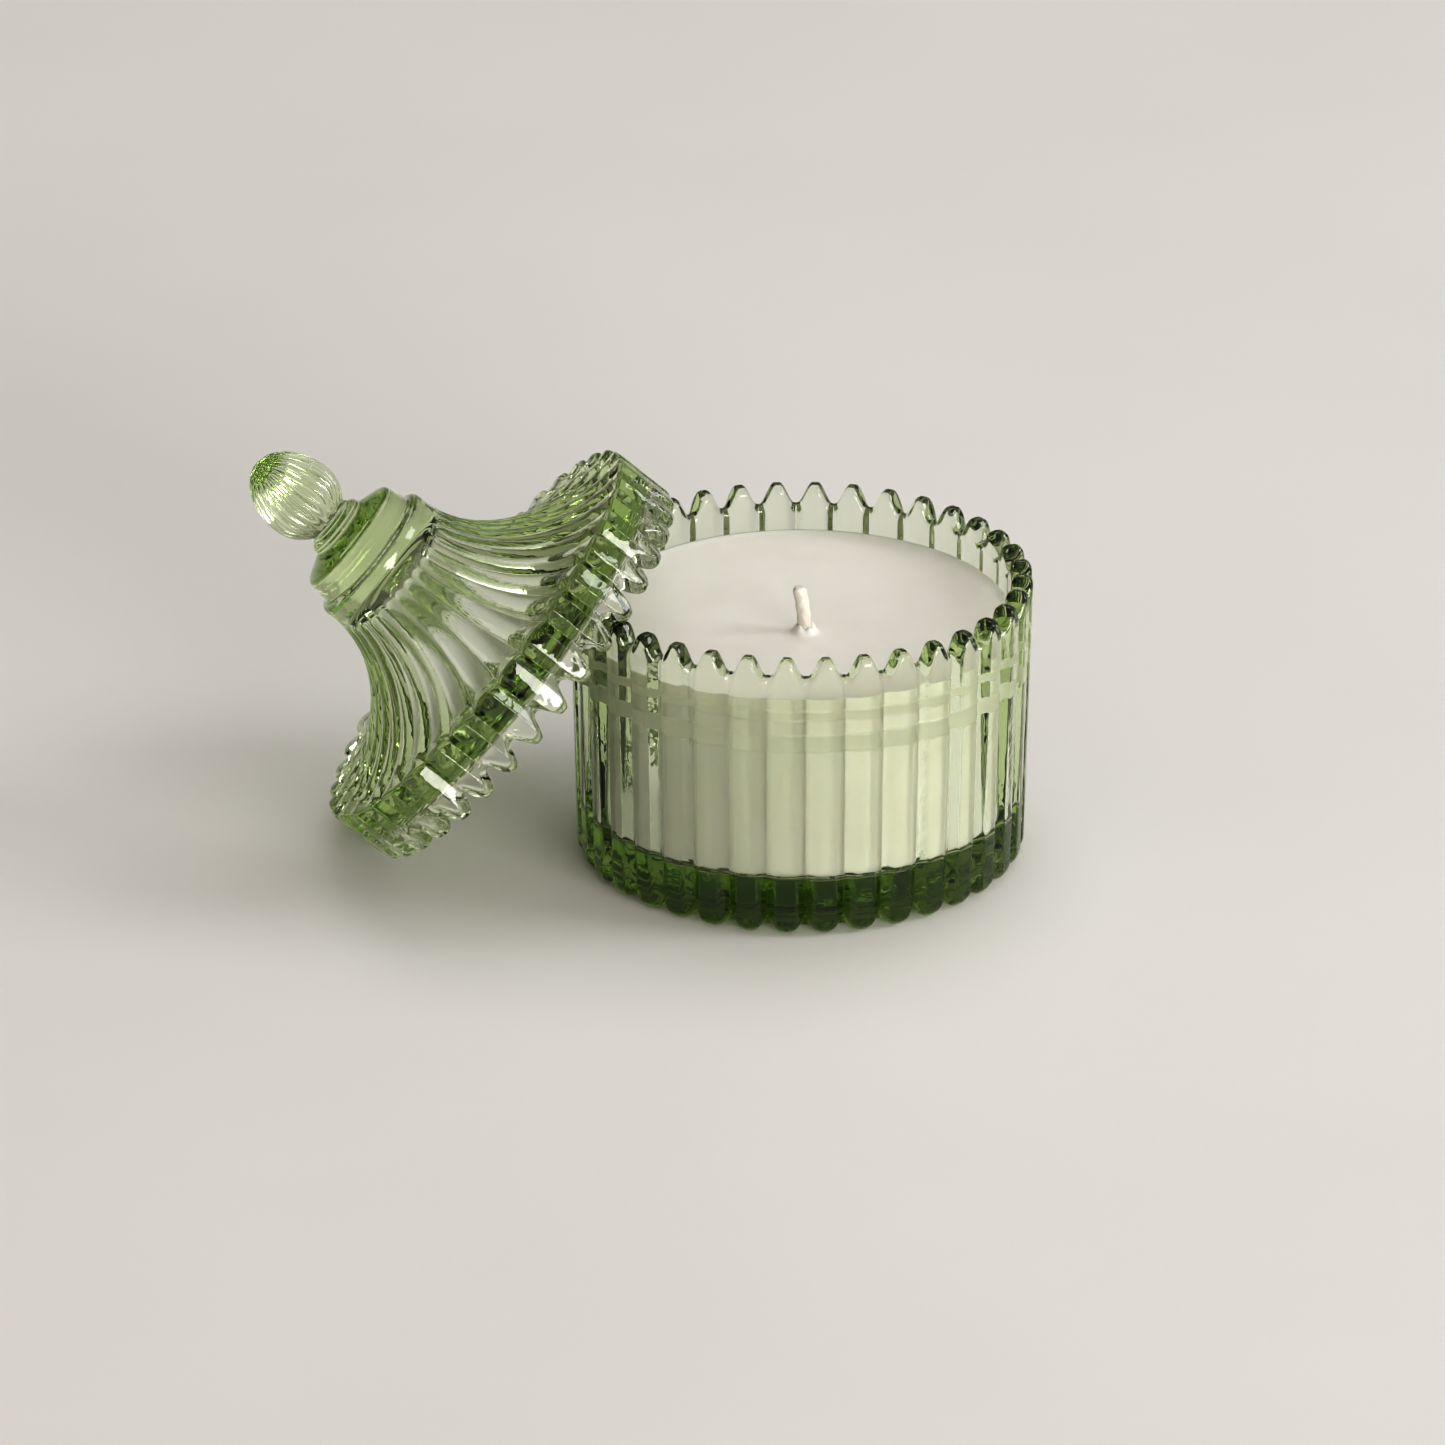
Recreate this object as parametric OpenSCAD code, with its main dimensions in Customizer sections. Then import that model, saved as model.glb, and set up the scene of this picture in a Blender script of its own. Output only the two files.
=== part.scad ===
// Ribbed pressed-glass jar with its tent-shaped glass lid leaning on the rim.
// The jar is filled with wax round one wick.  Millimetres, +Z up.
// The origin is the centre of the jar's foot, on the table.
// The lid leans on the -X side of the rim, its knob up and outwards.

/* [Jar] */
// Diameter over the ribs at the rim
jar_d = 90; // [70:1:120]
// Height to the tips of the rim teeth
jar_h = 58; // [40:1:90]
// Glass thickness measured through a rib at the rim
wall_t = 4.5; // [3:0.1:7]
// Thickness of the heavy glass floor
floor_t = 10.5; // [4:0.5:16]
// How much narrower the jar is at its foot, on each side
draft_in = 1.3; // [0:0.1:3]
// Ribs round the jar and round the lid
rib_count = 36; // [18:1:48]
// Radius of the round back of a jar rib
rib_r = 5.2; // [4.2:0.1:8]
// Height of the teeth on both rims
tooth_h = 4; // [2:0.5:6]
// Radius of the hollow between two teeth
tooth_gap_r = 3; // [2.2:0.05:3.4]
// Rounding of the ribs where they run into the foot
foot_round = 3; // [1:0.5:6]
// Height of the notches between the rib ends, under the foot
foot_notch = 2.8; // [0:0.1:5]
// Ring grooves pressed into the underside
foot_rings = 4; // [0:1:6]
// Depth of a ring groove
ring_depth = 0.6; // [0.2:0.1:1.5]
// Rounding between the inside wall and the floor
inside_round = 2.5; // [1:0.5:6]

/* [Candle] */
// Height of the wax surface over the table
wax_top = 48.5; // [30:0.5:52]
// Rise of the wax where it wets the glass
wax_edge_rise = 0.6; // [0:0.1:1.5]
// Diameter of the cotton wick
wick_d = 2.8; // [1.5:0.1:4]
// Place of the wick to the right of the jar's axis
wick_x = 0.6; // [-12:0.1:12]
// Place of the wick behind the jar's axis, negative towards the front
wick_y = -8.5; // [-12:0.1:12]
// Wick showing above the wax
wick_out = 9.4; // [4:0.1:12]
// Diameter of the metal wick sustainer
tab_d = 20; // [12:1:32]
// Sheet thickness of the sustainer
tab_t = 0.4; // [0.2:0.1:1]
// Height of the sustainer's crimped neck above its disc
neck_h = 3.4; // [2:0.2:6]
// Thickness of the adhesive disc under the sustainer
glue_t = 0.8; // [0.4:0.1:1.5]

/* [Lid] */
// Diameter over the ribs of the lid's band
lid_d = 89.6; // [70:0.2:120]
// Height of the straight ribbed band, from the tooth tips
band_h = 13; // [8:0.5:20]
// Glass thickness through the band
lid_wall_t = 4; // [3:0.1:7]
// Glass thickness through the concave roof
roof_t = 4.4; // [3:0.1:7]
// Glass thickness under the outer edge of the roof, where it thickens into a ledge
ledge_t = 8.6; // [4:0.1:10]
// Height where the roof stands upright, at the collar
roof_h = 38.5; // [28:0.5:60]
// Depth of the grooves between the roof ribs
roof_groove = 0.9; // [0.4:0.1:1.6]
// Radius of the lower collar bead
bead_r = 14.3; // [8:0.1:20]
// Radius of the upper collar at its top edge
collar_r = 11.8; // [7:0.1:18]
// Radius of the waist under the knob
waist_r = 5; // [3:0.2:8]
// Largest radius of the knob
knob_r = 7.9; // [5:0.1:12]
// Length of the knob
knob_h = 19.2; // [12:0.2:28]
// Flutes on the knob
flute_count = 24; // [12:1:36]
// Depth of the knob flutes
flute_depth = 0.35; // [0.1:0.05:0.8]

/* [Leaning pose] */
// Tilt of the lid's axis from upright
lean_tilt = 50.3; // [30:0.1:70]
// Distance from the jar's axis to the centre of the lid's rim
lean_reach = 52.3; // [45:0.1:70]
// Turn of the whole leaning lid round the jar's axis
lean_heading = 3; // [0:0.5:20]
// Clearance under the lowest tooth of the lid
lean_gap = 0.2; // [0:0.1:1]

/* [Hidden] */

eps = 0.01;
slip = 0.05;
round_n = 96;
arc_steps = 8;
pitch = 360 / rib_count;

jar_r = jar_d / 2;
inner_r = jar_r - wall_t;
foot_r = jar_r - draft_in;
draft = atan(draft_in / jar_h);
rib_half = PI * (jar_r - rib_r / 4) / rib_count;
groove_in = rib_r - sqrt(rib_r * rib_r - rib_half * rib_half);
rib_phase = 5.93;
groove_fill = 0.35;
notch_from = foot_r - foot_round - 1.6;
ring_outer = notch_from - 0.4;
ring_step = 4;
tip_bevel = 1.3;
tip_bevel_h = 1.7;

glue_top = floor_t + glue_t;
tab_top = glue_top + tab_t;
neck_d = wick_d + 1.6;
wick_top = wax_top + wick_out;

lid_r = lid_d / 2;
lid_inner_r = lid_r - lid_wall_t;
tip_round = 2;
shoulder = 1.4;
band_top = band_h + 0.2;
roof_r = lid_r - shoulder;
roof_a = roof_r - bead_r;
roof_lift = 0.3;
roof_b = roof_h - band_h - shoulder - roof_lift;
bead_top = roof_h + 2.3;
collar_bot = bead_top + 0.9;
collar_top = collar_bot + 4.2;
cone_top = collar_top + 2.2;
waist_top = cone_top + 1.9;
knob_mid = waist_top + knob_h / 2 - 0.6;
rib_fade = 12;
rib_core = 2;
hollow_top = roof_h - 2;
tip_low = (lid_r - tip_round) * sin(lean_tilt) + tip_round * (1 - cos(lean_tilt));
lean_rise = tip_low + lean_gap;

// Quarter-ellipse points from angle a0 to a1 round (cr, cz).
function arc(cr, cz, a, b, a0, a1) = [
    for (i = [0:arc_steps])
        let (t = a0 + (a1 - a0) * i / arc_steps)
            [cr + a * cos(t), cz + b * sin(t)]
];

// Line of the hollow under the roof, from the ledge to below the collar.
function hollow_line() = arc(roof_r, roof_h, -(roof_a + roof_t), -(roof_b + ledge_t), 90, 12);
// Concave roof line, lifted into the glass by deep, from the band to the collar.
function roof_line(deep, t_end) = arc(roof_r, roof_h, -(roof_a + deep), -(roof_b + deep), 90, t_end);

// ---- jar ---------------------------------------------------------------

// One leaning round rib along the outside wall.
module jar_rib() {
    translate([foot_r - rib_r, 0, -1])
        rotate([0, draft, 0])
            cylinder(h = jar_h + 4, r = rib_r, $fn = round_n);
}

// Limits of the jar: flat rim, flat foot, rounded lower corner.
module jar_limits() {
    rotate_extrude($fn = round_n)
        polygon(concat(
            [[0, 0]],
            arc(foot_r - foot_round, foot_round, foot_round, foot_round, -90, 0),
            [[jar_r, jar_h - tip_bevel_h], [jar_r - tip_bevel, jar_h], [0, jar_h]]
        ));
}

// Plain glass inside the ribs.
module jar_core() {
    rotate_extrude($fn = round_n)
        polygon([[0, 0], [foot_r - groove_in - 1, 0], [foot_r - groove_in, 2],
                 [jar_r - groove_in, jar_h], [0, jar_h]]);
}

// Room for the wax, open at the rim.
module jar_hollow() {
    rotate_extrude($fn = round_n)
        polygon(concat(
            [[0, floor_t]],
            arc(inner_r - inside_round, floor_t + inside_round, inside_round, inside_round, -90, 0),
            [[inner_r, jar_h - tip_bevel_h], [inner_r + tip_bevel, jar_h],
             [inner_r + tip_bevel, jar_h + 1], [0, jar_h + 1]]
        ));
}

// Round-bottomed gaps that leave one tooth on every rib, cut at height z.
module tooth_gaps(z, from_r) {
    for (i = [0:rib_count - 1])
        rotate([0, 0, (i + 0.5) * pitch])
            translate([from_r, 0, z])
                rotate([0, 90, 0])
                    cylinder(h = jar_r, r = tooth_gap_r, $fn = 48);
}

// V grooves round the underside, between the flat middle and the bearing ring.
module foot_grooves() {
    for (i = [1:foot_rings])
        rotate_extrude($fn = round_n)
            translate([ring_outer - i * ring_step, 0])
                polygon([[-1.5 * ring_depth, -eps], [0, ring_depth], [1.5 * ring_depth, -eps]]);
}

module jar_body() {
    color([0.45, 0.66, 0.42, 0.5])
        rotate([0, 0, rib_phase])
            difference() {
                intersection() {
                    union() {
                        jar_core();
                        for (i = [0:rib_count - 1])
                            rotate([0, 0, i * pitch])
                                jar_rib();
                    }
                    jar_limits();
                }
                jar_hollow();
                tooth_gaps(jar_h - tooth_h + tooth_gap_r, inner_r - 3);
                tooth_gaps(foot_notch - tooth_gap_r, notch_from);
                foot_grooves();
            }
}

// ---- candle ------------------------------------------------------------

module candle_wax() {
    wax_r = inner_r - slip;
    wax_bot = floor_t + slip;
    color([0.93, 0.90, 0.84])
        difference() {
            rotate_extrude($fn = round_n)
                polygon(concat(
                    [[0, wax_bot]],
                    arc(wax_r - inside_round, wax_bot + inside_round, inside_round, inside_round, -90, 0),
                    [[wax_r, wax_top + wax_edge_rise], [wax_r - 0.5, wax_top + wax_edge_rise / 4],
                     [wax_r - 1.6, wax_top], [0, wax_top]]
                ));
            translate([wick_x, wick_y, 0]) {
                cylinder(h = wax_top + 1, d = wick_d + 2 * slip, $fn = 48);
                cylinder(h = tab_top + slip, d = tab_d + 2 * slip, $fn = 64);
                cylinder(h = tab_top + neck_h + slip, d = neck_d + 2 * slip, $fn = 48);
            }
        }
}

module wick() {
    color([0.93, 0.90, 0.86])
        translate([wick_x, wick_y, tab_top + slip])
            cylinder(h = wick_top - tab_top - slip, d = wick_d, $fn = 48);
}

module wick_sustainer() {
    color([0.72, 0.73, 0.74])
        difference() {
            union() {
                translate([wick_x, wick_y, glue_top])
                    cylinder(h = tab_t, d = tab_d, $fn = 64);
                translate([wick_x, wick_y, glue_top])
                    cylinder(h = tab_t + neck_h, d = neck_d, $fn = 48);
            }
            translate([wick_x, wick_y, tab_top])
                cylinder(h = neck_h + 1, d = wick_d + 2 * slip, $fn = 48);
        }
}

module wick_adhesive() {
    color([0.85, 0.84, 0.78])
        translate([wick_x, wick_y, floor_t + slip])
            cylinder(h = glue_t - 2 * slip, d = tab_d - 2, $fn = 64);
}

// ---- lid, drawn upright with its tooth tips at zero ------------------------

// Limits of the ribbed band: rounded tooth tips, bevelled shoulder.
module band_limits() {
    rotate_extrude($fn = round_n)
        polygon(concat(
            [[0, 0]],
            arc(lid_r - tip_round, tip_round, tip_round, tip_round, -90, 0),
            [[lid_r, band_h - 0.6], [roof_r + 0.4, band_top], [0, band_top]]
        ));
}

// Ribbed band below the roof.
module lid_band() {
    intersection() {
        union() {
            cylinder(h = band_top, r = lid_r - groove_in + groove_fill, $fn = round_n);
            for (i = [0:rib_count - 1])
                rotate([0, 0, i * pitch])
                    translate([lid_r - rib_r, 0, 0])
                        cylinder(h = band_top, r = rib_r, $fn = round_n);
        }
        band_limits();
    }
}

// Concave roof between the band and the collar, deep millimetres inside its rib backs.
module roof_outline(deep) {
    polygon(concat([[0, band_h - 1], [roof_r - deep, band_h - 1]],
                   roof_line(deep, 0),
                   [[0, roof_h]]));
}

// One roof rib: a strip along the roof line, buried in the glass behind.
module roof_rib() {
    back = roof_line(rib_core, rib_fade);
    last = len(back) - 1;
    rotate_extrude(angle = 0.6 * pitch, $fn = round_n)
        polygon(concat([[roof_r, band_h - 1]], roof_line(0, rib_fade), [for (i = [0:last]) back[last - i]],
                       [[roof_r - rib_core, band_h - 1]]));
}

module lid_roof() {
    rotate_extrude($fn = round_n)
        roof_outline(roof_groove);
    for (i = [0:rib_count - 1])
        rotate([0, 0, (i - 0.3) * pitch])
            roof_rib();
}

// Bead, groove, upper collar, cone and waist in one turned outline.
module lid_collar() {
    rotate_extrude($fn = round_n)
        polygon([[0, roof_h - 3], [bead_r - roof_groove - 0.2, roof_h - 3], [bead_r, roof_h - 1],
                 [bead_r, bead_top - 0.7], [bead_r - 0.7, bead_top],
                 [collar_r + 0.5, bead_top + 0.2], [collar_r + 0.4, collar_bot],
                 [collar_r, collar_top - 0.7], [collar_r - 0.7, collar_top],
                 [waist_r + 0.8, cone_top], [waist_r + 1, cone_top + 0.6],
                 [waist_r + 0.8, waist_top - 0.6], [waist_r, waist_top],
                 [waist_r, waist_top + 1], [0, waist_top + 1]]);
}

// Egg outline of the knob, fuller towards the waist, between two angles from its foot.
function egg(r, from, to) = [
    for (i = [0:2 * arc_steps])
        let (t = from + (to - from) * i / (2 * arc_steps))
            [r * sin(t) * (1 + 0.12 * cos(t)), knob_mid - knob_h / 2 * cos(t)]
];

// One raised strip between two knob flutes, buried in the glass behind.
module knob_rib() {
    back = egg(knob_r - 1.2, 35, 160);
    last = len(back) - 1;
    rotate_extrude(angle = 180 / flute_count, $fn = round_n)
        polygon(concat(egg(knob_r, 35, 160), [for (i = [0:last]) back[last - i]]));
}

module lid_knob() {
    rotate_extrude($fn = round_n)
        polygon(concat([[0, knob_mid]], egg(knob_r - flute_depth, 12, 180)));
    for (i = [0:flute_count - 1])
        rotate([0, 0, (i - 0.25) * 360 / flute_count])
            knob_rib();
}

// Hollow under the lid, following the roof.
module lid_hollow() {
    rotate_extrude($fn = round_n)
        polygon(concat(
            [[0, -1], [lid_inner_r + tip_bevel, -1], [lid_inner_r + tip_bevel, 0],
             [lid_inner_r, tip_bevel_h], [lid_inner_r, roof_h - roof_b - ledge_t + 0.3]],
            [for (p = hollow_line()) if (p[0] < lid_inner_r - 1) p],
            [[4, hollow_top], [0, hollow_top]]
        ));
}

module lid_upright() {
    difference() {
        union() {
            lid_band();
            lid_roof();
            lid_collar();
            lid_knob();
        }
        lid_hollow();
        tooth_gaps(tooth_h - tooth_gap_r, lid_inner_r - 3);
    }
}

module lid() {
    color([0.50, 0.70, 0.47, 0.5])
        rotate([0, 0, -lean_heading])
            translate([-lean_reach, 0, lean_rise])
                rotate([0, -lean_tilt, 0])
                    lid_upright();
}

jar_body();
candle_wax();
wick();
wick_sustainer();
wick_adhesive();
lid();
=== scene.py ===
"""Looks of the ribbed green glass candle jar with its tent-shaped lid leaning on the rim.

Sizes are in millimetres, in the same frame as the CAD: the origin is the centre of the jar's
foot, +Z is up.  The glass pieces are turned meshes whose radius and height follow formulas round
the jar, so that every rib, tooth and flute is real geometry.
"""
import math

import bpy
import numpy as np
from mathutils import Euler, Matrix, Vector


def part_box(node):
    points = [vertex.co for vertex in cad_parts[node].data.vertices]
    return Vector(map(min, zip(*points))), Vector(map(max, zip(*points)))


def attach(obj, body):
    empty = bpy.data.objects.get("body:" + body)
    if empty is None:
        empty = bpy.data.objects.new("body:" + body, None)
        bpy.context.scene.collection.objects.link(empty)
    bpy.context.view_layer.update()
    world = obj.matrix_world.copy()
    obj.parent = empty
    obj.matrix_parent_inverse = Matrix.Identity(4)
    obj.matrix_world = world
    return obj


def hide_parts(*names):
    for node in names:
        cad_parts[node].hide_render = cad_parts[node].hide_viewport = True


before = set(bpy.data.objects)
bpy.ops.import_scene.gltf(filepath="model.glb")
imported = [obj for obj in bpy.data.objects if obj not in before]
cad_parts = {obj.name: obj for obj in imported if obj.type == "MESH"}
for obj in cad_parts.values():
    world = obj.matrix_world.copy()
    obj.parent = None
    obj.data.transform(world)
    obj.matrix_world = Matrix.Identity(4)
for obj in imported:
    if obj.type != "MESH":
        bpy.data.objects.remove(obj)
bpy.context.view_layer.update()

MM = 0.001

# Places across a rib are shares of the pitch: 0 on its crest, 0.5 in the groove beside it.

# ---- sizes shared by both glass pieces -----------------------------------------------------
RIBS = 36
PITCH = 360 / RIBS
COLUMNS_HALF_RIB = (
    0.0, 0.04, 0.08, 0.12, 0.17, 0.20, 0.22, 0.235, 0.25, 0.27, 0.31, 0.36, 0.41, 0.45, 0.48,
)
TOOTH_H = 4.0
GAP_EDGE = 0.45
PEAK_EDGE = 0.07

# ---- jar -----------------------------------------------------------------------------------
JAR_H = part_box("jar_body")[1].z / MM
JAR_TURN = 5.93
RIM_R = 44.85
DRAFT_IN = 1.3
FOOT_R = RIM_R - DRAFT_IN
INNER_R = 40.5
FLOOR_T = 10.5
INSIDE_ROUND = 2.5
JAR_RIB_DEPTH = 1.4
JAR_RIB_FLAT = 0.26
JAR_RIB_SOFT = 0.10
FOOT_RIB_EXTRA = 0.35
RIM_ROUND = 2.2
RIM_SQUARE = 0.8
NOTCH_SHARP = 2.3
FOOT_ROUND = 3.0
FOOT_NOTCH = 2.8
UNDER_R = 37.6
UNDER_START_R = 6
RING_R = 34.7
RING_STEP = 4.0
RINGS = 4
RING_DEPTH = 0.6
RING_HALF_WIDTH = 0.75

# ---- candle --------------------------------------------------------------------------------
WAX_TOP = 48.5
WAX_RISE = 0.6
WICK_R = 1.4
WICK_TOP = 57.9
WICK_X = 0.6
WICK_Y = -8.5
WICK_PULL_R = 34
WICK_PULL_FADE = 22
TAB_R = 10.0
TAB_TOP = 11.7
NECK_TOP = 15.1
NECK_R = 2.2
METAL_GAP = 0.05
WICK_GAP = 0.02
AIR_GAP = 0.12
WET_LAP = 0.04
WET_BANDS = ((37.7, 41.7), (44.3, 46.7))
MOUND_H = 1.5
MOUND_HALF_WIDTH = 0.85
BRAID_PER_MM = 2.4
BRAID_DEPTH = 0.07
TAPER = 0.35
BEND = 0.012

# ---- lid, upright with its tooth tips at zero ----------------------------------------------
LID_R = 44.8
LID_INNER_R = 40.2
LID_TIP_ROUND = 2.0
LID_POLISH = 0.1
LID_RIB_DEPTH = 1.7
LID_RIB_FLAT = 0.225
LID_RIB_SOFT = 0.03
BAND_TOP = 12.9
ROOF_R = 43.4
ROOF_H = 38.5
ROOF_A = 29.1
ROOF_B = 23.8
ROOF_T = 4.7
LEDGE_T = 8.6
HOLLOW_FROM = 12
HOLLOW_END = 73
ROOF_GROOVE = 0.19
ROOF_GROOVE_MAX = 1.25
ROOF_RIB_POWER = 2.2
COLLAR_R = 11.9
WAIST_R = 5.0
CROWN_DROP = 2
KNOB_R = 7.9
KNOB_MID = 59.0
KNOB_HALF = 9.6
KNOB_FROM = 33
KNOB_TO = 177
KNOB_EGG = 0.12
FLUTES = 24
FLUTE_SHARE = 0.27

# ---- glass ---------------------------------------------------------------------------------
GLASS_COLOUR = (0.58, 0.75, 0.20)
GLASS_DENSITY = 50
LID_COLOUR = (0.61, 0.775, 0.25)
LID_DENSITY = 39

# ---- light ---------------------------------------------------------------------------------
ROOM_BRIGHT_SIDE = (0.60, -0.38, 0.70)
ROOM_BRIGHT = (1.0, 0.945, 0.875)
ROOM_DARK = (0.15, 0.14, 0.12)
ROOM_POWER = 0.50
KEY_POWER = 9.8
FRONT_POWER = 26
CEILING_POWER = 2.6

# ---- camera --------------------------------------------------------------------------------
CAMERA_PLACE = (-15.16, -1726.2, 805.3)
CAMERA_DOWN = 24.31
CAMERA_LENS = 243.1

# ---- leaning pose --------------------------------------------------------------------------
LEAN_TILT = 50.3
LEAN_REACH = 52.3
LEAN_HEADING = 3.0
LEAN_GAP = 0.2


# ---- small helpers -------------------------------------------------------------------------
def smooth(x):
    """Eases from 0 to 1 as x goes from 0 to 1."""
    x = np.clip(x, 0.0, 1.0)
    return x * x * (3 - 2 * x)


def rib_columns(turn):
    """Angles of the mesh columns, closer together along the edges of every rib's flat."""
    half = np.array(COLUMNS_HALF_RIB)
    one_rib = np.concatenate([-half[:0:-1], half, [0.5]])
    return turn + (np.arange(RIBS)[:, None] + one_rib[None, :]).ravel() * PITCH


def place_round(degrees, turn, pitch):
    """Where each angle falls across its rib: 0 on the crest, 0.5 in the groove."""
    return ((degrees - turn) / pitch + 0.5) % 1.0 - 0.5


def facet_drop(across, depth, flat, soft):
    """How far a flat-backed rib drops towards its grooves; soft rounds the flat's edges."""
    side = (np.abs(across) - flat) / (0.5 - flat)

    def slope(x):
        return soft * np.log1p(np.exp(x / soft))

    low = slope(-flat / (0.5 - flat))
    return depth * (slope(side) - low) / (slope(1.0) - low)


def crest_share(across):
    """1 on a rib crest, 0 in a groove: round-topped teeth with flat-bottomed gaps."""
    return smooth((GAP_EDGE - np.abs(across)) / (GAP_EDGE - PEAK_EDGE))


def filleted(corners, steps=5):
    """Outline of (r, z) points through corners given as (r, z, rounding radius)."""
    out = []
    for i, (r, z, radius) in enumerate(corners):
        here = np.array([r, z])
        if i in (0, len(corners) - 1) or radius == 0:
            out.append((r, z))
            continue
        before = np.array(corners[i - 1][:2]) - here
        after = np.array(corners[i + 1][:2]) - here
        reach = min(radius, 0.45 * np.linalg.norm(before), 0.45 * np.linalg.norm(after))
        start = here + before / np.linalg.norm(before) * reach
        end = here + after / np.linalg.norm(after) * reach
        for k in range(steps + 1):
            t = k / steps
            point = (1 - t) ** 2 * start + 2 * t * (1 - t) * here + t**2 * end
            out.append((point[0], point[1]))
    return out


def turned(name, degrees, rows, poles=None, place=None):
    """A closed mesh through rows of (radius, height), each one value or one for every angle.

    With poles, the first and last rows are closed onto the axis at those two heights;
    without, the last row joins the first.
    """
    angle = np.radians(degrees)
    n = len(degrees)
    points = []
    for r, z in rows:
        r = np.broadcast_to(r, n)
        z = np.broadcast_to(z, n)
        points.append(np.stack([r * np.cos(angle), r * np.sin(angle), z], axis=1))
    points = np.concatenate(points)
    faces = []
    step = np.arange(n)
    after = (step + 1) % n
    last = len(rows) - (1 if poles else 0)
    for i in range(last):
        a = i * n
        b = (i + 1) % len(rows) * n
        faces.append(np.stack([a + step, a + after, b + after, b + step], axis=1))
    quads = np.concatenate(faces)
    triangles = np.zeros((0, 3), int)
    if poles:
        first = len(points)
        points = np.concatenate([points, [[0, 0, poles[0]], [0, 0, poles[1]]]])
        end = (len(rows) - 1) * n
        low = np.stack([np.full(n, first), after, step], axis=1)
        high = np.stack([end + step, end + after, np.full(n, first + 1)], axis=1)
        triangles = np.concatenate([low, high])
    if place is not None:
        turn = np.array(place.to_3x3())
        points = points @ turn.T + np.array(place.translation)
    return solid(name, points * MM, quads, triangles)


def solid(name, points, quads, triangles):
    """A smooth-shaded mesh object from arrays of points, quads and triangles."""
    loops = np.concatenate([quads.ravel(), triangles.ravel()]).astype(np.int32)
    sizes = np.concatenate([np.full(len(quads), 4), np.full(len(triangles), 3)])
    starts = np.concatenate([[0], np.cumsum(sizes)[:-1]]).astype(np.int32)
    mesh = bpy.data.meshes.new(name)
    mesh.vertices.add(len(points))
    mesh.vertices.foreach_set("co", points.astype(np.float32).ravel())
    mesh.loops.add(len(loops))
    mesh.loops.foreach_set("vertex_index", loops)
    mesh.polygons.add(len(sizes))
    mesh.polygons.foreach_set("loop_start", starts)
    mesh.update(calc_edges=True)
    mesh.validate()
    mesh.shade_smooth()
    piece = bpy.data.objects.new(name, mesh)
    bpy.context.scene.collection.objects.link(piece)
    return piece


# ---- jar -----------------------------------------------------------------------------------
def ring_height(r):
    """Height of the underside where the pressed ring grooves run."""
    height = 0.0
    for i in range(RINGS):
        height += RING_DEPTH * math.exp(-(((r - RING_R + i * RING_STEP) / RING_HALF_WIDTH) ** 2))
    return height


def jar_rows(degrees):
    """Rows of the jar's skin: underside, foot, ribbed wall, toothed rim, inside, floor."""
    across = place_round(degrees, JAR_TURN, PITCH)
    drop = facet_drop(across, JAR_RIB_DEPTH, JAR_RIB_FLAT, JAR_RIB_SOFT)
    notch = FOOT_NOTCH * np.abs(2 * across) ** NOTCH_SHARP
    top = JAR_H - TOOTH_H * (1 - crest_share(across))

    def outside(z):
        deeper = 1 + FOOT_RIB_EXTRA * smooth((FLOOR_T + 5 - z) / 10)
        return FOOT_R + DRAFT_IN * z / JAR_H - drop * deeper

    rows = []
    for r in np.linspace(UNDER_START_R, UNDER_R, 64):
        rows.append((r, ring_height(r)))
    foot_edge = outside(0) - FOOT_ROUND
    for t in np.linspace(0, 1, 8)[1:-1]:
        rows.append((UNDER_R + (foot_edge - UNDER_R) * t, notch * smooth(t)))
    wall_low = FOOT_ROUND + 0.5 * notch
    for a in np.radians(np.linspace(0, 90, 12)):
        z = notch + (wall_low - notch) * (1 - math.cos(a))
        rows.append((outside(z) - FOOT_ROUND * (1 - math.sin(a)), z))
    wall_high = top - RIM_ROUND
    for t in smooth(np.linspace(0, 1, 34))[1:]:
        z = wall_low + (wall_high - wall_low) * t
        rows.append((outside(z), z))
    rim_out = outside(wall_high)
    middle = (rim_out + INNER_R) / 2
    half = (rim_out - INNER_R) / 2
    for a in np.radians(np.linspace(0, 180, 17))[1:]:
        side = math.copysign(abs(math.cos(a)) ** RIM_SQUARE, math.cos(a))
        rows.append((middle + half * side, wall_high + RIM_ROUND * math.sin(a) ** RIM_SQUARE))
    inside_low = FLOOR_T + INSIDE_ROUND
    for t in np.linspace(0, 1, 24)[1:]:
        rows.append((INNER_R, wall_high + (inside_low - wall_high) * t))
    for a in np.radians(np.linspace(0, 90, 9))[1:]:
        r = INNER_R - INSIDE_ROUND * (1 - math.cos(a))
        rows.append((r, inside_low - INSIDE_ROUND * math.sin(a)))
    for r in np.linspace(INNER_R - INSIDE_ROUND, 4, 10)[1:]:
        rows.append((r, FLOOR_T))
    return rows


def make_jar(material):
    """The pressed-glass jar."""
    degrees = rib_columns(JAR_TURN)
    jar = turned("jar_glass", degrees, jar_rows(degrees), poles=(0.0, FLOOR_T))
    return dress(jar, material, "jar", "jar_body")


# ---- lid -----------------------------------------------------------------------------------
def lid_place():
    """Moves the upright lid to where it leans on the jar."""
    tilt = math.radians(LEAN_TILT)
    low = (LID_R - LID_TIP_ROUND) * math.sin(tilt) + LID_TIP_ROUND * (1 - math.cos(tilt))
    turn = Matrix.Rotation(math.radians(-LEAN_HEADING), 4, "Z")
    shift = Matrix.Translation(Vector((-LEAN_REACH, 0, low + LEAN_GAP)))
    return turn @ shift @ Matrix.Rotation(-tilt, 4, "Y")


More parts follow.
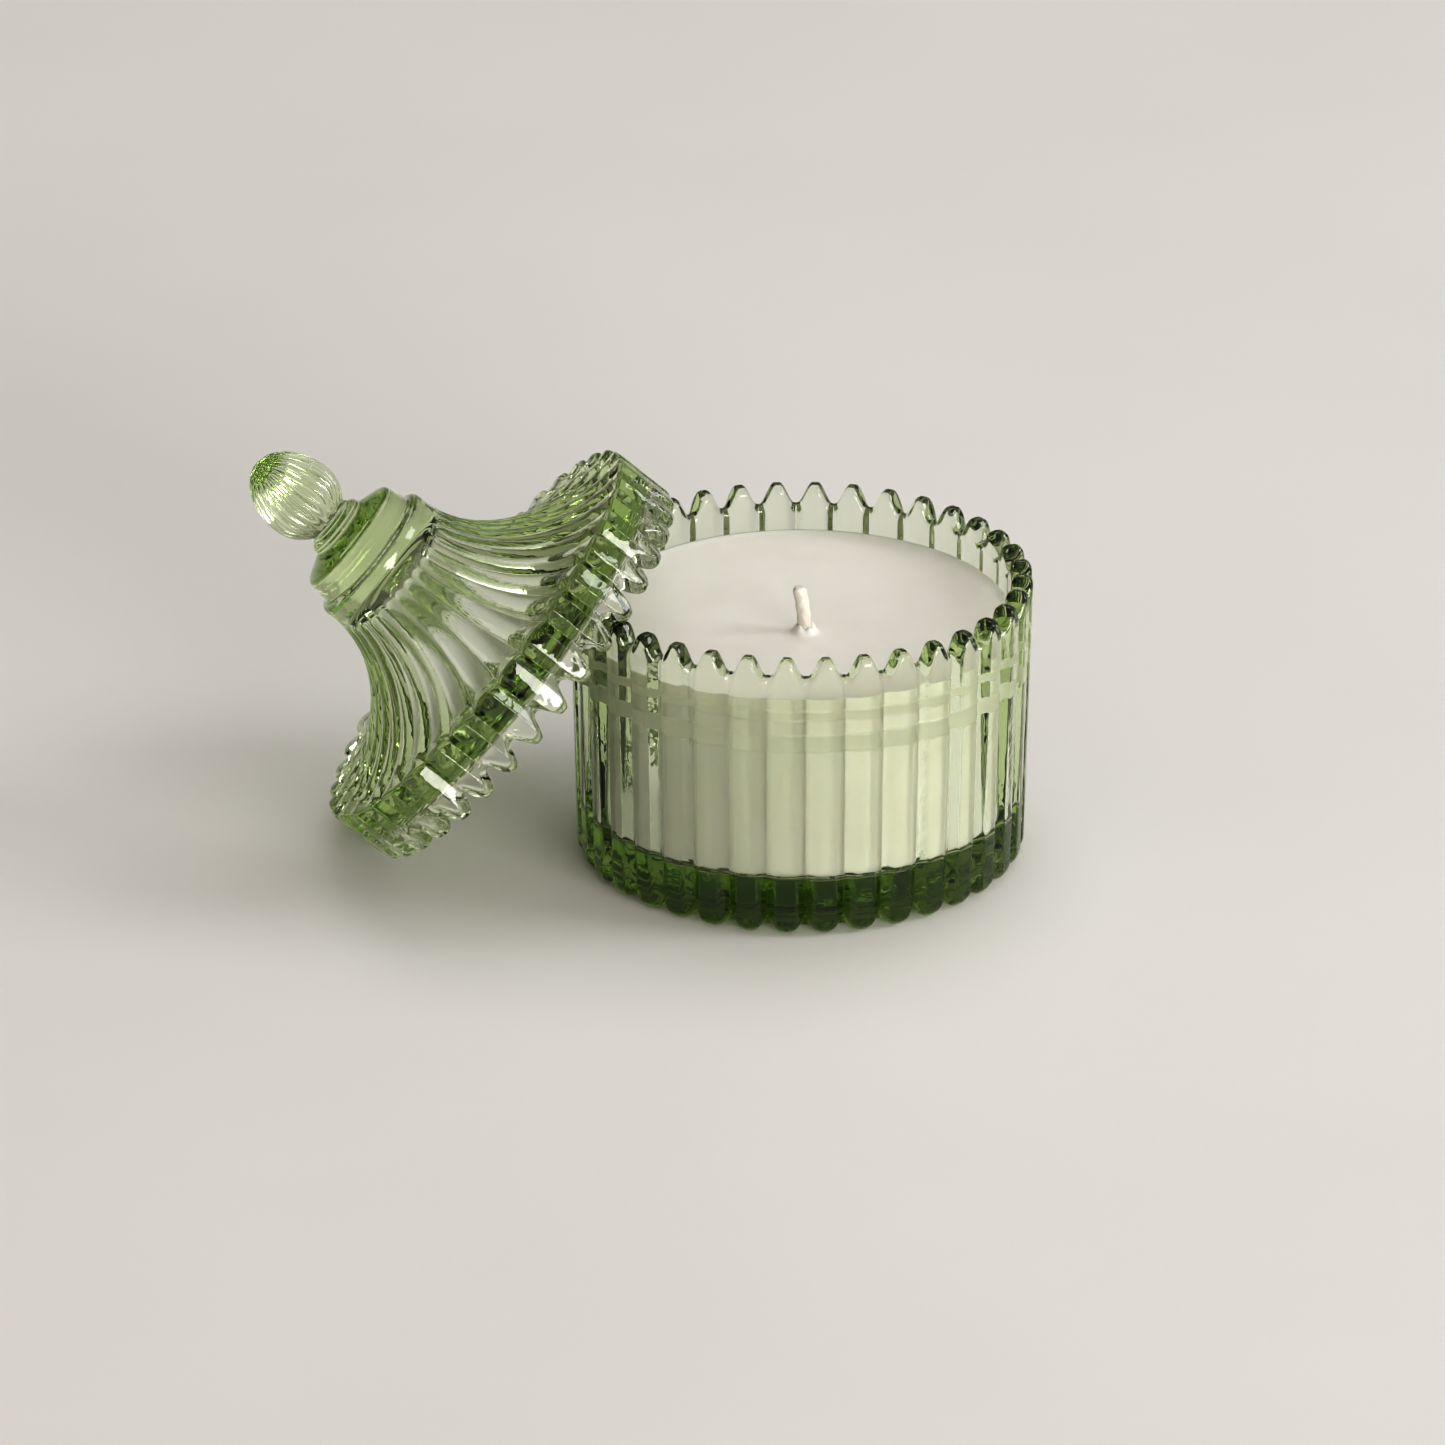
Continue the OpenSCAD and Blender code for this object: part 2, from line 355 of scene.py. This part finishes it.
def hollow_rows(low):
    """Rows under the lid, from near the axis down to the teeth, whose roots are at low."""
    deep_a = ROOF_A + ROOF_T
    deep_b = ROOF_B + LEDGE_T
    neck = math.radians(HOLLOW_FROM)
    neck_r = ROOF_R - deep_a * math.cos(neck)
    neck_z = ROOF_H - deep_b * math.sin(neck)
    crown = ROOF_H - CROWN_DROP - neck_z
    rows = []
    for b in np.radians(np.linspace(15, 90, 8)):
        rows.append((neck_r * math.sin(b), neck_z + crown * math.cos(b)))
    for t in np.radians(np.linspace(HOLLOW_FROM, HOLLOW_END, 28))[1:]:
        rows.append((ROOF_R - deep_a * math.cos(t), ROOF_H - deep_b * math.sin(t)))
    r0, z0 = rows[-1]
    wall_z = TOOTH_H + LID_TIP_ROUND
    for b in np.radians(np.linspace(0, 90, 12))[1:]:
        rows.append((r0 + (LID_INNER_R - r0) * math.sin(b), wall_z + (z0 - wall_z) * math.cos(b)))
    for t in (0.33, 0.67):
        rows.append((LID_INNER_R, wall_z + (low - wall_z) * t))
    return rows


def roof_rows(across, drop):
    """Rows of the concave ribbed roof, from the band's shoulder up to the collar."""
    start = np.arccos(drop / ROOF_A)
    rows = []
    for k in np.linspace(0, 1, 46):
        t = start * (1 - k)
        r = ROOF_R - ROOF_A * np.cos(t)
        fade = smooth((np.degrees(t) - 7.0) / 4.5)
        depth = np.minimum(ROOF_GROOVE * 2 * math.pi * r / RIBS, ROOF_GROOVE_MAX)
        groove = depth * np.abs(2 * across) ** ROOF_RIB_POWER * fade
        rows.append((r - groove * np.cos(t), ROOF_H - (ROOF_B + groove) * np.sin(t)))
    return rows


def collar_outline():
    """Bead, neck, upper collar, cone, ring and waist, from the roof to the knob's foot."""
    bead = ROOF_R - ROOF_A
    return filleted([
        (bead, ROOF_H, 0),
        (bead + 0.1, ROOF_H + 0.8, 0.5),
        (bead - 0.1, ROOF_H + 2.1, 0.9),
        (COLLAR_R + 0.75, ROOF_H + 2.5, 0.5),
        (COLLAR_R + 0.55, ROOF_H + 3.5, 0.6),
        (COLLAR_R, ROOF_H + 7.4, 0.9),
        (WAIST_R + 1.3, ROOF_H + 9.6, 0.7),
        (WAIST_R + 1.35, ROOF_H + 10.7, 0.5),
        (WAIST_R + 0.2, ROOF_H + 11.6, 0.6),
        (WAIST_R, ROOF_H + 12.1, 0),
    ])


def knob_rows(degrees):
    """Rows of the egg-shaped knob with its fine flutes, from the waist to near the tip."""
    across = place_round(degrees, 0, 360 / FLUTES)
    rows = []
    for t in np.radians(np.linspace(KNOB_FROM, KNOB_TO, 44)):
        r = KNOB_R * math.sin(t) * (1 + KNOB_EGG * math.cos(t))
        fade = smooth((math.degrees(t) - KNOB_FROM - 3) / 40)
        flute = FLUTE_SHARE * 2 * math.pi * r / FLUTES * fade * np.abs(2 * across) ** 1.6
        rows.append((r - flute, KNOB_MID - KNOB_HALF * math.cos(t)))
    return rows


def lid_rows(degrees):
    """Rows of the lid's whole skin, from the hollow round the teeth and up to the knob."""
    across = place_round(degrees, 0, PITCH)
    crest = crest_share(across)
    drop = facet_drop(across, LID_RIB_DEPTH, LID_RIB_FLAT, LID_RIB_SOFT)
    low = TOOTH_H * (1 - crest) + LID_TIP_ROUND
    rows = hollow_rows(low)
    outside = LID_R - LID_POLISH - drop
    middle = (outside + LID_INNER_R) / 2
    half = (outside - LID_INNER_R) / 2
    for a in np.radians(np.linspace(0, 180, 17)):
        rows.append((middle - half * math.cos(a), low - LID_TIP_ROUND * math.sin(a)))
    for t in np.linspace(0, 1, 9)[1:]:
        rows.append((outside, low + (BAND_TOP - low) * t))
    roof = roof_rows(across, drop)
    edge_r, edge_z = roof[0]
    for a in np.radians(np.linspace(0, 90, 9))[1:-1]:
        r = edge_r + (outside - edge_r) * math.cos(a) ** 0.5
        rows.append((r, BAND_TOP + (edge_z - BAND_TOP) * math.sin(a) ** 0.5))
    rows += roof
    rows += collar_outline()[1:]
    rows += knob_rows(degrees)
    return rows


def make_lid(material):
    """The pressed-glass lid, leaning."""
    degrees = rib_columns(0)
    ends = (ROOF_H - CROWN_DROP, KNOB_MID + KNOB_HALF)
    lid = turned("lid_glass", degrees, lid_rows(degrees), poles=ends, place=lid_place())
    return dress(lid, material, "lid", "lid")


# ---- candle --------------------------------------------------------------------------------
def wax_side(z, angle):
    """Radius of the wax: it wets the glass in two bands and has shrunk from it elsewhere."""
    waver = 0.18 * np.sin(3 * angle + 1) + 0.12 * np.sin(8 * angle) + 0.05 * np.sin(23 * angle + 2)
    wet = 0.0
    for low, high in WET_BANDS:
        wet = np.maximum(wet, smooth((z - low - waver) / 0.4) * smooth((high + waver / 2 - z) / 0.4))
    return INNER_R - AIR_GAP + (AIR_GAP + WET_LAP) * wet


def wax_floor(r, angle):
    """Height of the wax's underside: it touches the glass floor, but for thin ripples of air."""
    ripple = np.cos(r / 0.55 + 0.8 * np.sin(4 * angle)) * (0.6 + 0.4 * np.sin(7 * angle + r / 5))
    return FLOOR_T - WET_LAP + (WET_LAP + 0.06) * smooth((ripple - 0.5) / 0.2)


def wax_rows(angle):
    """Rows of the wax, a closed ring round the wick and its sustainer."""
    low_r = INNER_R - INSIDE_ROUND
    top = WAX_TOP + WAX_RISE
    rows = [(TAB_R + METAL_GAP, wax_floor(TAB_R, angle))]
    for r in np.linspace(TAB_R, low_r, 100)[1:]:
        rows.append((r, wax_floor(r, angle)))
    bottom = wax_floor(low_r, angle)
    for a in np.radians(np.linspace(0, 90, 9))[1:]:
        r = low_r + (wax_side(FLOOR_T, angle) - low_r) * math.sin(a)
        rows.append((r, bottom + INSIDE_ROUND * (1 - math.cos(a))))
    for z in np.arange(FLOOR_T + INSIDE_ROUND + 0.2, top, 0.2):
        rows.append((wax_side(z, angle), z))
    edge = wax_side(top, angle)
    for r in np.linspace(0.3, 4.5, 10):
        rows.append((edge - r, WAX_TOP + WAX_RISE * math.exp(-r / 1.1)))
    for r in np.linspace(WICK_PULL_R, 5, 26):
        rows.append((r, WAX_TOP))
    torn = 1 + 0.25 * np.sin(2 * angle + 0.6) + 0.18 * np.sin(5 * angle)
    for r in np.linspace(4.5, WICK_R + WICK_GAP, 18):
        rise = MOUND_H * math.exp(-((r - WICK_R) / MOUND_HALF_WIDTH) ** 2)
        rows.append((r, WAX_TOP + rise * torn))
    rows.append((WICK_R + WICK_GAP, NECK_TOP + METAL_GAP))
    rows.append((NECK_R + METAL_GAP, NECK_TOP + METAL_GAP))
    rows.append((NECK_R + METAL_GAP, TAB_TOP + METAL_GAP))
    rows.append((TAB_R + METAL_GAP, TAB_TOP + METAL_GAP))
    return rows


def make_wax(material):
    """The poured wax; its hole follows the wick, which stands off the jar's axis."""
    degrees = np.arange(240) * 1.5
    wax = turned("poured_wax", degrees, wax_rows(np.radians(degrees)))
    for v in wax.data.vertices:
        r = math.hypot(v.co.x, v.co.y) / MM
        share = min(1.0, max(0.0, (WICK_PULL_R - r) / WICK_PULL_FADE))
        v.co.x += WICK_X * share * MM
        v.co.y += WICK_Y * share * MM
    return dress(wax, material, "jar", "candle_wax")


def make_wick(material):
    """The braided cotton wick: a rope-like surface, cut square and slightly bent at the top."""
    columns = 72
    degrees = np.arange(columns) * 360 / columns
    angle = np.radians(degrees)
    rows = []
    low = TAB_TOP + METAL_GAP
    buried = np.linspace(low, WAX_TOP - 1, 20)
    shown = np.linspace(WAX_TOP - 0.8, WICK_TOP, 76)
    heights = np.concatenate([buried, shown])
    for z in heights:
        one = np.cos(3 * angle + z * BRAID_PER_MM)
        other = np.cos(3 * angle - z * BRAID_PER_MM)
        braid = BRAID_DEPTH * np.maximum(one, other)
        end = 1 - TAPER * smooth((z - WICK_TOP + 0.6) / 0.6)
        rows.append(((WICK_R - 0.08 + braid) * end, z))
    for share in (0.7, 0.4, 0.15):
        rows.append((WICK_R * 0.62 * share, WICK_TOP))
    wick = turned("cotton_wick", degrees, rows, poles=(low, WICK_TOP))
    for v in wick.data.vertices:
        rise = max(0.0, v.co.z / MM - WAX_TOP)
        v.co.x += (WICK_X - BEND * rise**2) * MM
        v.co.y += WICK_Y * MM
    return dress(wick, material, "jar", "wick")


# ---- materials -----------------------------------------------------------------------------
def new_material(name):
    """A material with an empty tree; returns it, its nodes, its links and its output."""
    material = bpy.data.materials.new(name)
    material.use_nodes = True
    tree = material.node_tree
    tree.nodes.clear()
    output = tree.nodes.new("ShaderNodeOutputMaterial")
    return material, tree.nodes, tree.links, output


def noise(nodes, links, scale, detail=4.0, rough=0.5):
    """Noise in object space; scale is in features per metre."""
    place = nodes.new("ShaderNodeTexCoord")
    texture = nodes.new("ShaderNodeTexNoise")
    texture.inputs["Scale"].default_value = scale
    texture.inputs["Detail"].default_value = detail
    texture.inputs["Roughness"].default_value = rough
    links.new(place.outputs["Object"], texture.inputs["Vector"])
    return texture.outputs["Fac"]


def ramp(nodes, links, source, stops):
    """A colour or grey ramp of (position, colour) stops."""
    node = nodes.new("ShaderNodeValToRGB")
    node.color_ramp.elements[0].position = stops[0][0]
    node.color_ramp.elements[0].color = (*stops[0][1], 1)
    node.color_ramp.elements[1].position = stops[-1][0]
    node.color_ramp.elements[1].color = (*stops[-1][1], 1)
    for position, colour in stops[1:-1]:
        node.color_ramp.elements.new(position).color = (*colour, 1)
    links.new(source, node.inputs["Fac"])
    return node.outputs["Color"]


def bump(nodes, links, source, distance, strength=1.0):
    """A bump from a height signal; distance is in metres."""
    node = nodes.new("ShaderNodeBump")
    node.inputs["Distance"].default_value = distance
    node.inputs["Strength"].default_value = strength
    links.new(source, node.inputs["Height"])
    return node.outputs["Normal"]


def glass_material(name, colour, density):
    """Pressed green glass: clear skin with fire-polish waviness, colour from its thickness."""
    material, nodes, links, output = new_material(name)
    skin = nodes.new("ShaderNodeBsdfPrincipled")
    skin.inputs["Base Color"].default_value = (1, 1, 1, 1)
    skin.inputs["IOR"].default_value = 1.5
    skin.inputs["Transmission Weight"].default_value = 1.0
    wave = noise(nodes, links, 140, 3)
    grey = ramp(nodes, links, wave, [(0.35, (0.0, 0.0, 0.0)), (0.75, (0.015, 0.015, 0.015))])
    links.new(grey, skin.inputs["Roughness"])
    links.new(bump(nodes, links, wave, 0.00012), skin.inputs["Normal"])
    links.new(skin.outputs["BSDF"], output.inputs["Surface"])
    body = nodes.new("ShaderNodeVolumeAbsorption")
    body.inputs["Color"].default_value = (*colour, 1)
    body.inputs["Density"].default_value = density
    links.new(body.outputs["Volume"], output.inputs["Volume"])
    return material


def wax_material():
    """Soft poured wax: faintly mottled cream that light sinks into."""
    material, nodes, links, output = new_material("poured_wax")
    skin = nodes.new("ShaderNodeBsdfPrincipled")
    mottle = noise(nodes, links, 90, 5)
    colour = ramp(nodes, links, mottle, [(0.3, (0.82, 0.80, 0.745)), (0.7, (0.85, 0.835, 0.785))])
    links.new(colour, skin.inputs["Base Color"])
    skin.inputs["Subsurface Weight"].default_value = 0.35
    skin.inputs["Subsurface Radius"].default_value = (1.0, 0.8, 0.6)
    skin.inputs["Subsurface Scale"].default_value = 0.004
    skin.inputs["IOR"].default_value = 1.44
    sheen = noise(nodes, links, 400, 3)
    grey = ramp(nodes, links, sheen, [(0.3, (0.38, 0.38, 0.38)), (0.7, (0.5, 0.5, 0.5))])
    links.new(grey, skin.inputs["Roughness"])
    links.new(bump(nodes, links, mottle, 0.00015), skin.inputs["Normal"])
    links.new(skin.outputs["BSDF"], output.inputs["Surface"])
    return material


def cotton_material():
    """Waxed cotton: pale fibres running round the braid."""
    material, nodes, links, output = new_material("waxed_cotton")
    skin = nodes.new("ShaderNodeBsdfPrincipled")
    fibre = noise(nodes, links, 2600, 6, 0.7)
    colour = ramp(nodes, links, fibre, [(0.3, (0.66, 0.62, 0.56)), (0.65, (0.78, 0.75, 0.69))])
    links.new(colour, skin.inputs["Base Color"])
    skin.inputs["Roughness"].default_value = 0.6
    skin.inputs["Subsurface Weight"].default_value = 0.2
    skin.inputs["Subsurface Scale"].default_value = 0.001
    links.new(bump(nodes, links, fibre, 0.0002), skin.inputs["Normal"])
    links.new(skin.outputs["BSDF"], output.inputs["Surface"])
    return material


def tin_material():
    """Thin stamped tin with rolling marks and dull spots."""
    material, nodes, links, output = new_material("stamped_tin")
    skin = nodes.new("ShaderNodeBsdfPrincipled")
    skin.inputs["Metallic"].default_value = 1.0
    spots = noise(nodes, links, 900, 5, 0.6)
    colour = ramp(nodes, links, spots, [(0.3, (0.55, 0.56, 0.57)), (0.7, (0.72, 0.73, 0.74))])
    links.new(colour, skin.inputs["Base Color"])
    grey = ramp(nodes, links, spots, [(0.3, (0.28, 0.28, 0.28)), (0.7, (0.45, 0.45, 0.45))])
    links.new(grey, skin.inputs["Roughness"])
    links.new(bump(nodes, links, spots, 0.00005), skin.inputs["Normal"])
    links.new(skin.outputs["BSDF"], output.inputs["Surface"])
    return material


def adhesive_material():
    """Soft off-white adhesive foam with fine cells."""
    material, nodes, links, output = new_material("adhesive_foam")
    skin = nodes.new("ShaderNodeBsdfPrincipled")
    place = nodes.new("ShaderNodeTexCoord")
    cells = nodes.new("ShaderNodeTexVoronoi")
    cells.inputs["Scale"].default_value = 2200
    links.new(place.outputs["Object"], cells.inputs["Vector"])
    stops = [(0.1, (0.74, 0.71, 0.63)), (0.6, (0.86, 0.84, 0.77))]
    colour = ramp(nodes, links, cells.outputs["Distance"], stops)
    links.new(colour, skin.inputs["Base Color"])
    skin.inputs["Roughness"].default_value = 0.75
    links.new(bump(nodes, links, cells.outputs["Distance"], 0.0001), skin.inputs["Normal"])
    links.new(skin.outputs["BSDF"], output.inputs["Surface"])
    return material


def table_material():
    """Pale matt tabletop with the faintest mottling."""
    material, nodes, links, output = new_material("pale_table")
    skin = nodes.new("ShaderNodeBsdfPrincipled")
    mottle = noise(nodes, links, 6, 4)
    colour = ramp(nodes, links, mottle, [(0.3, (0.755, 0.745, 0.73)), (0.7, (0.785, 0.775, 0.76))])
    links.new(colour, skin.inputs["Base Color"])
    skin.inputs["Roughness"].default_value = 0.7
    links.new(skin.outputs["BSDF"], output.inputs["Surface"])
    return material


def dress(piece, material, body, node):
    """Gives a piece its material, its body and the CAD node it stands for."""
    piece.data.materials.append(material)
    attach(piece, body)
    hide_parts(node)
    return piece


def dress_cad(node, material):
    """Gives a CAD node that is kept a finished material."""
    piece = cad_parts[node]
    piece.data.materials.clear()
    piece.data.materials.append(material)


# ---- stage ---------------------------------------------------------------------------------
def make_table():
    """A wide tabletop, rounded up into a backdrop far behind, a hair below the foot."""
    columns = np.linspace(-3, 3, 25)
    profile = [(-3.0, 0.0)]
    for y in np.linspace(-2.5, 3.0, 23):
        profile.append((y, 0.0))
    for a in np.radians(np.linspace(0, 80, 12))[1:]:
        profile.append((3.0 + 0.8 * math.sin(a), 0.8 * (1 - math.cos(a))))
    points = np.array([(x, y, z - 0.00005) for y, z in profile for x in columns])
    n = len(columns)
    quads = []
    for i in range(len(profile) - 1):
        for j in range(n - 1):
            a = i * n + j
            quads.append((a, a + 1, a + n + 1, a + n))
    table = solid("pale_table", points, np.array(quads), np.zeros((0, 3), int))
    table.data.materials.append(table_material())


def area_light(name, azimuth, elevation, distance, size, power, colour):
    """A rectangular soft light aimed at the jar from a compass angle (0 is +X) and a height angle."""
    light = bpy.data.lights.new(name, "AREA")
    light.shape = "RECTANGLE"
    light.size = size[0]
    light.size_y = size[1]
    light.energy = power
    light.color = colour
    a = math.radians(azimuth)
    e = math.radians(elevation)
    away = Vector((math.cos(a) * math.cos(e), math.sin(a) * math.cos(e), math.sin(e)))
    lamp = bpy.data.objects.new(name, light)
    lamp.location = away * distance + Vector((-0.02, 0, 0.03))
    lamp.rotation_euler = (-away).to_track_quat("-Z", "Y").to_euler()
    bpy.context.scene.collection.objects.link(lamp)


def make_light():
    """A room brighter to the upper right, with a window there, one in front and a dim ceiling."""
    world = bpy.data.worlds.new("studio")
    bpy.context.scene.world = world
    world.use_nodes = True
    nodes = world.node_tree.nodes
    links = world.node_tree.links
    back = nodes["Background"]
    place = nodes.new("ShaderNodeTexCoord")
    towards = nodes.new("ShaderNodeVectorMath")
    towards.operation = "DOT_PRODUCT"
    towards.inputs[1].default_value = ROOM_BRIGHT_SIDE
    links.new(place.outputs["Generated"], towards.inputs[0])
    share = nodes.new("ShaderNodeMapRange")
    share.inputs["From Min"].default_value = -0.6
    share.inputs["From Max"].default_value = 1.0
    links.new(towards.outputs["Value"], share.inputs["Value"])
    shade = ramp(nodes, links, share.outputs["Result"], [(0.0, ROOM_DARK), (1.0, ROOM_BRIGHT)])
    links.new(shade, back.inputs["Color"])
    back.inputs["Strength"].default_value = ROOM_POWER
    area_light("window_right", -7, 29, 2.0, (0.7, 0.75), KEY_POWER, (0.94, 0.975, 1.0))
    area_light("window_front", -58, 10, 2.2, (1.2, 0.65), FRONT_POWER, (1.0, 0.975, 0.94))
    area_light("ceiling", 75, 68, 1.3, (0.8, 0.8), CEILING_POWER, (0.97, 0.99, 1.0))


def make_camera():
    """Long lens at the photograph's viewing angle, with a plain, slightly contrasty tone curve."""
    tone = bpy.context.scene.view_settings
    tone.view_transform = "Standard"
    tone.look = "High Contrast"
    data = bpy.data.cameras.new("camera")
    data.sensor_width = 36
    data.lens = CAMERA_LENS
    data.clip_start = 0.1
    data.clip_end = 20
    camera = bpy.data.objects.new("camera", data)
    camera.location = Vector(CAMERA_PLACE) * MM
    camera.rotation_euler = Euler((math.radians(90 - CAMERA_DOWN), 0.0, 0.0))
    bpy.context.scene.collection.objects.link(camera)
    bpy.context.scene.camera = camera


# ---- put together --------------------------------------------------------------------------
make_camera()
make_light()
make_table()
make_jar(glass_material("jar_glass", GLASS_COLOUR, GLASS_DENSITY))
make_lid(glass_material("lid_glass", LID_COLOUR, LID_DENSITY))
make_wax(wax_material())
make_wick(cotton_material())
dress_cad("wick_sustainer", tin_material())
dress_cad("wick_adhesive", adhesive_material())
